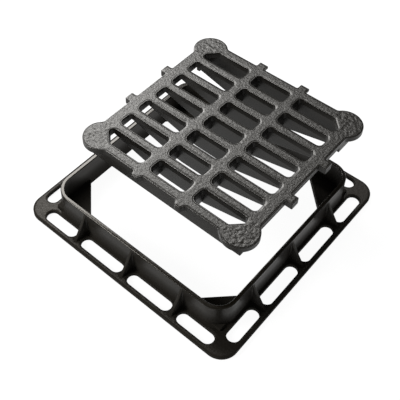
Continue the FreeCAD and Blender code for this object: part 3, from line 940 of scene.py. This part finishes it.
@dataclass
class GrateCasting:
    """Slotted plate with ears and lugs, over bars, crossbars and a skirt with four feet."""

    place: Place = (0.0, 53.0, 121.0)
    top: float = 49.0
    plate: float = 12.0
    plate_round: float = 1.2
    lower_round: float = 0.5
    slot_round: float = 2.2
    slot_draft: float = 1.2
    edge: float = 186.0
    ear_centre: float = 164.0
    ear_radius: float = 36.0
    ear_root: float = 10.0
    square_lug: Lug = Lug(reach=13.5, foot_width=20.0, end_width=20.0, tip=1.5, root=3.0)
    round_lug: Lug = Lug(reach=10.5, foot_width=22.0, end_width=14.0, tip=6.0, root=6.0)
    end_lugs: Point = (-51.0, 55.0)
    end_lug: float = 15.0
    back_lug: float = 5.0
    lug_step: float = 0.3
    lug_share: float = 0.02
    pad_sink: float = 5.0
    pad_rise: float = 1.0
    crossbar_line: float = 50.5
    row_pitch: float = 50.0
    last_row: float = 150.0
    slot_half: float = 16.0
    slot_corner: float = 9.0
    columns: tuple[Point, ...] = ((-161.0, -61.0), (-40.0, 40.0), (61.0, 161.0))
    corner_cut: float = 20.0
    cut_round: float = 5.0
    bar_widths: Point = (13.0, 10.0)
    bar_depths: Point = (53.2, 18.0)
    bar_flat: float = 46.2
    bar_blend: float = 14.0
    bar_sink: float = 3.0
    bar_round: float = 2.0
    crossbar_widths: Point = (17.0, 14.0)
    crossbar_depths: Point = (44.0, 44.0)
    skirt: float = 177.5
    skirt_thick: float = 8.0
    skirt_round: float = 1.2
    skirt_bend: float = 0.3
    skirt_step: float = 0.6
    end_skirt_depth: float = 30.0
    foot_start: float = 135.5
    leather_reach: float = 4.0
    leather_fade: float = 12.0
    sharp_from: float = 38.0
    grain: Grain = Grain(height=0.7, size=4.5, seed=11.0, spacing=1.9, fade=3.5,
                         leather_height=2.8)
    material: Material = field(default_factory=GRATE_IRON.material)

    def build(self) -> Thing:
        """Cast the grate in one piece.

        Returns:
            The finished grate, dressed and smoothed.
        """
        body = self.plate_skin()
        ribs = unite(self.skirts(), (self.bars(), self.crossbars()))
        return soften(unite(body, (ribs, self.lug_pads())), self.sharp_from)

    def at(self, quarters: int = 0) -> Matrix:
        """Place of the grate's own axes, turned by some quarter turns."""
        return Matrix.Translation(self.place) @ Matrix.Rotation(math.pi / 2 * quarters, 4, "Z")

    def plan(self) -> Outline:
        """Draw the outline of the plate with its lugs and ears.

        Returns:
            The outline.
        """
        side = math.sqrt((self.ear_radius + self.ear_root) ** 2
                         - (self.edge + self.ear_root - self.ear_centre) ** 2)
        line = self.ear_centre - side
        out = self.edge + self.ear_root
        lean = math.degrees(math.atan2(side, out - self.ear_centre))
        front, back = self.end_lugs
        cross = (-self.crossbar_line, self.crossbar_line)
        sides = ((self.square_lug, self.end_lugs), (self.square_lug, cross),
                 (self.square_lug, (-back, -front)), (self.round_lug, cross))
        arcs: list[Arc] = []
        for quarter, (lug, (first, second)) in enumerate(sides):
            corner = [
                *lug.corners(self.edge, first), *lug.corners(self.edge, second),
                Arc(out, line, self.ear_root, 180, -lean),
                Arc(self.ear_centre, self.ear_centre, self.ear_radius, -lean, 90 + 2 * lean),
                Arc(line, out, self.ear_root, lean - 90, -lean),
            ]
            arcs += [arc.turned(quarter) for arc in corner]
        return Outline(tuple(arcs), FINE_STEP)

    def without_back_lugs(self, points: Sequence[Point], grow: float) -> list[Point]:
        """Grown ring of the plate with the thinner lugs at the back drawn in."""
        side, field_end = self.edge + grow, self.crossbar_line + self.square_lug.foot_width
        return [(x, side + self.lug_share * (y - side)) if y > side and abs(x) < field_end
                else (x, y) for x, y in points]

    def slots(self) -> list[Outline]:
        """Draw the outlines of all the water slots.

        Returns:
            The inner rows' outlines and then those of the two last rows.
        """
        outlines = []
        rows = round(2 * self.last_row / self.row_pitch) + 1
        for row in range(1, rows - 1):
            line = row * self.row_pitch - self.last_row
            for start, stop in self.columns:
                outlines.append(self.slot(start, stop, line))
        start, stop = self.columns[1]
        cut = self.cut_slot()
        last = [self.slot(start, stop, self.last_row), cut, cut.mirrored()]
        return outlines + last + [outline.turned(2) for outline in last]

    def slot(self, start: float, stop: float, line: float) -> Outline:
        """Plain water slot between two ends, about a line."""
        half = self.slot_half
        return rounded_box(start, stop, line - half, line + half, self.slot_corner, FINE_STEP)

    def cut_slot(self) -> Outline:
        """Draw the corner slot of the last row, slanted towards the ear.

        Returns:
            The outline.
        """
        start, stop = self.columns[2]
        low, high = self.last_row - self.slot_half, self.last_row + self.slot_half
        radius, small, cut = self.slot_corner, self.cut_round, self.corner_cut
        setback = small * math.tan(math.pi / 8)
        return Outline((
            Arc(stop - radius, low + radius, radius, -90, 90),
            Arc(stop - small, high - cut - setback, small, 0, 45),
            Arc(stop - cut - setback, high - small, small, 45, 45),
            Arc(start + radius, high - radius, radius, 90, 90),
            Arc(start + radius, low + radius, radius, 180, 90),
        ), FINE_STEP)

    def plate_skin(self) -> Thing:
        """Make the slotted plate, with the cast grain raised on its top.

        Returns:
            The closed skin.
        """
        shell = Shell()
        floor, low, draft = self.top - self.plate, self.lower_round, self.slot_draft
        plan = self.plan()
        lug_floor = self.top - self.back_lug
        thin = ((-low, floor), (0, floor + low), (0, lug_floor - self.lug_step))
        full = ((0, lug_floor), *rounding(self.plate_round, self.top))
        rings = [shell.ring(self.without_back_lugs(plan.ring(grow), grow), height)
                 for grow, height in thin]
        rings += [shell.ring(plan.ring(grow), height) for grow, height in full]
        shell.stack(rings, plugged=False)
        brim = [(-grow, z) for grow, z in reversed(rounding(self.slot_round, self.top))]
        ends = [shell.tower(outline, [*brim, (-draft, floor + low), (low - draft, floor)])
                for outline in self.slots()]
        shell.cap([rings[-1], *(top for top, _ in ends)], Direction.UP, self.grain)
        shell.cap([rings[0], *(bottom for _, bottom in ends)], Direction.DOWN)
        for number in shell.grain:
            x, y, _ = shell.points[number]
            gap = math.dist((abs(x), abs(y)), (self.ear_centre, self.ear_centre))
            inside = (self.ear_radius + self.leather_reach - gap) / self.leather_fade
            shell.grain[number] *= 1 + min(1.0, max(0.0, inside))
        thing = shell.build("grate_casting", self.at())
        return self.grain.raise_on(thing, "plate_grain", self.material)

    def lug_pads(self) -> Thing:
        """Make the lower parts of the lugs at both ends, which are thicker than the plate.

        Returns:
            The four pads.
        """
        shell = Shell()
        lug, low, base = self.square_lug, self.lower_round, self.top - self.end_lug
        half, tip = lug.foot_width / 2 - HAIR, self.edge + lug.reach - HAIR
        levels = [(-low, base), (0, base + low), (0, self.top - self.plate + self.pad_rise)]
        for middle in self.end_lugs:
            outline = rounded_box(self.skirt - self.pad_sink, tip, middle - half, middle + half,
                                  lug.tip, ONE_RUN)
            for side in (outline, outline.mirrored()):
                shell.tower(side, levels, plugged=True)
        return shell.build("lug_pads", self.at())

    def bar(self, name: str, widths: Point, depths: Point, flat: float, quarters: int) -> Thing:
        """Make one bar under the plate, tapered downwards, with a rounded foot.

        Args:
            name: Name of the object.
            widths: Width under the plate and at the foot.
            depths: Depth below the top face at mid-span and at its ends.
            flat: Half the length of its level underside.
            quarters: Quarter turns of the bar about the centre.

        Returns:
            The bar through the centre.
        """
        shell = Shell()
        foot, end = self.top - depths[0], self.top - depths[1]
        floor = self.top - self.plate
        half = self.skirt - self.skirt_thick / 2
        blend, small = self.bar_blend, self.bar_round
        half_top = widths[0] / 2
        slope = (end - foot) / (self.skirt - flat) if end > foot else 0.0
        stations = [-half]
        if slope:
            stations += [shift * blend - flat for shift in (-1, -0.5, 0, 0.5, 1)]
        stations += [-station for station in reversed(stations)]
        rings = []
        for station in stations:
            past = abs(station) - flat
            if past >= blend:
                low = foot + slope * past
            else:
                low = foot + slope * max(0.0, past + blend) ** 2 / (4 * blend)
            widening = (widths[0] - widths[1]) / 2 * (low - foot) / (floor - foot)
            half_foot = widths[1] / 2 + widening
            section = [(-half_top, floor + self.bar_sink), (-half_top, floor)]
            for centre, start in ((small - half_foot, 180), (half_foot - small, 270)):
                for i in range(FOOT_CUTS + 1):
                    angle = math.radians(start + 90 * i / FOOT_CUTS)
                    section.append((centre + small * math.cos(angle),
                                    low + small + small * math.sin(angle)))
            section += [(half_top, floor), (half_top, floor + self.bar_sink)]
            first = len(shell.points)
            shell.points += [(station, across, height) for across, height in section]
            rings.append(list(range(first, len(shell.points))))
        shell.stack(rings)
        return shell.build(name, self.at(quarters))

    def bars(self) -> Thing:
        """Make the bars along the slots, deeper at mid-span.

        Returns:
            All the bars.
        """
        thing = self.bar("bars", self.bar_widths, self.bar_depths, self.bar_flat, 0)
        count = round(2 * self.last_row / self.row_pitch)
        return repeated(thing, "bar_row", self.material, count=count,
                        pitch=(0.0, self.row_pitch, 0.0))

    def crossbars(self) -> Thing:
        """Make the two crossbars that tie the bars."""
        thing = self.bar("crossbars", self.crossbar_widths, self.crossbar_depths, self.skirt, 1)
        return repeated(thing, "crossbar_pair", self.material, count=2,
                        pitch=(2 * self.crossbar_line, 0.0, 0.0))

    def skirts(self) -> Thing:
        """Make the skirt round the underside, cut back at both ends between the feet.

        Returns:
            The closed skirt.
        """
        shell = Shell()
        outer, inner = self.skirt, self.skirt - self.skirt_thick
        ceiling = self.top - self.plate + self.bar_sink
        relief = self.top - self.end_skirt_depth
        small, start = self.skirt_round, self.foot_start
        bend, stepped = small * self.skirt_bend, start + self.skirt_step
        stops = (-outer + small, -stepped, -start, start, stepped, outer - small)

        def ring(grow: float, face: float, lift: float | None) -> list[int]:
            """Ring of the skirt.

            Args:
                grow: How far the ring stands outside its face.
                face: Distance from the centre to the face.
                lift: Height over the lower edge, or None at the ceiling.

            Returns:
                The numbers of the new points.
            """
            points: list[Point] = []
            heights: list[float] = []
            for quarter in range(4):
                for stop in (*stops, outer):
                    along = max(small - face, min(face - small, stop))
                    x, y = face + grow, along
                    if stop == outer:
                        x = y = face - small + small * math.sqrt(0.5) + grow
                    raised = quarter % 2 == 0 and abs(stop) <= start
                    points.append(quarter_turned(x, y, quarter))
                    heights.append(ceiling if lift is None else (relief if raised else 0.0) + lift)
            return shell.ring(points, heights)

        rings = [
            ring(0.0, outer, small), ring(0.0, outer, None), ring(0.0, inner, None),
            ring(0.0, inner, small), ring(bend, inner, bend), ring(small, inner, 0.0),
            ring(-small, outer, 0.0), ring(-bend, outer, bend),
        ]
        shell.stack([*rings, rings[0]], plugged=False)
        return shell.build("skirts", self.at())


@dataclass(frozen=True)
class SoftLight:
    """Large soft lamp that looks at the object."""

    name: str
    place: Place
    target: Place
    size: float
    power: float

    def build(self) -> None:
        """Hang the lamp."""
        lamp = bpy.data.lights.new(self.name, "AREA")
        lamp.shape = "SQUARE"
        lamp.size = self.size
        lamp.energy = self.power
        thing = linked(bpy.data.objects.new(self.name, lamp))
        thing.location = self.place
        aim = Vector(self.target) - Vector(self.place)
        thing.rotation_euler = aim.to_track_quat("-Z", "Y").to_euler()


@dataclass(frozen=True)
class Studio:
    """Plain pale floor, soft light all round, soft lamps and the camera."""

    azimuth: float = 41.27
    elevation: float = 45.03
    target: Place = (-0.24865, 0.1660, 0.0)
    distance: float = 1.7723
    focal_pixels: float = 778.54
    image: int = 400
    principal: Point = (164.65, 100.04)
    sensor: float = 36.0
    sight: float = 50.0
    floor_half: float = 6.0
    floor_colour: Place = (0.06, 0.06, 0.059)
    floor_roughness: float = 0.9
    floor_gloss: float = 0.1
    floor_glow: float = 0.95
    white: Place = (1.0, 1.0, 1.0)
    ambient: float = 0.3
    lamps: tuple[SoftLight, ...] = (
        SoftLight("left_box", place=(-1.593, 0.886, 1.738), target=(-0.09, -0.206, 0.065),
                  size=1.0, power=78.0),
        SoftLight("back_box", place=(-0.815, 1.305, 1.97), target=(0.0, 0.0, 0.1),
                  size=0.6, power=18.0),
        SoftLight("front_left_box", place=(-1.2, -1.8, 1.5), target=(0.0, 0.0, 0.1),
                  size=0.8, power=85.0),
    )

    def build(self) -> None:
        """Set up the floor, the lights and the camera."""
        self.floor()
        self.surroundings()
        for lamp in self.lamps:
            lamp.build()
        self.camera()
        bpy.context.scene.view_settings.view_transform = "Standard"

    def floor(self) -> None:
        """Lay the pale floor."""
        mesh = bpy.data.meshes.new("floor")
        half = self.floor_half
        mesh.from_pydata([(-half, -half, 0), (half, -half, 0), (half, half, 0), (-half, half, 0)],
                         [], [(0, 1, 2, 3)])
        material = bpy.data.materials.new("pale_floor")
        material.use_nodes = True
        inputs = material.node_tree.nodes["Principled BSDF"].inputs
        inputs["Base Color"].default_value = (*self.floor_colour, 1.0)
        inputs["Roughness"].default_value = self.floor_roughness
        inputs["Specular IOR Level"].default_value = self.floor_gloss
        inputs["Emission Color"].default_value = (*self.white, 1.0)
        inputs["Emission Strength"].default_value = self.floor_glow
        mesh.materials.append(material)
        thing = linked(bpy.data.objects.new("floor", mesh))

    def surroundings(self) -> None:
        """Give the room a soft even light."""
        world = bpy.data.worlds.new("studio")
        world.use_nodes = True
        background = world.node_tree.nodes["Background"]
        background.inputs["Color"].default_value = (*self.white, 1.0)
        background.inputs["Strength"].default_value = self.ambient
        bpy.context.scene.world = world

    def camera(self) -> None:
        """Set the camera where the picture was taken from."""
        lens = bpy.data.cameras.new("camera")
        lens.sensor_width = self.sensor
        lens.lens = self.focal_pixels / self.image * self.sensor
        lens.shift_x = 0.5 - self.principal[0] / self.image
        lens.shift_y = self.principal[1] / self.image - 0.5
        lens.clip_end = self.sight
        turn, rise = math.radians(self.azimuth), math.radians(self.elevation)
        level = math.cos(rise)
        back = Vector((math.sin(turn) * level, -math.cos(turn) * level, math.sin(rise)))
        right = Vector((math.cos(turn), math.sin(turn), 0.0))
        over = back.cross(right)
        thing = linked(bpy.data.objects.new("camera", lens))
        rotation = Matrix((right, over, back)).transposed().to_4x4()
        spot = Vector(self.target) + back * self.distance
        thing.matrix_world = Matrix.Translation(spot) @ rotation
        bpy.context.scene.camera = thing


def main() -> None:
    """Build both castings and the studio."""
    logging.basicConfig(level=logging.INFO, format="%(message)s")
    Studio().build()
    for node, slot, casting in (("frame", "frame_iron", FrameCasting()),
                                ("grate", "grate_iron", GrateCasting())):
        piece = casting.build()
        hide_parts(node)
        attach(piece, "root")
        logger.info("%s stands for %s: %d faces", piece.name, node, len(piece.data.polygons))


if __name__ == "__main__":
    main()
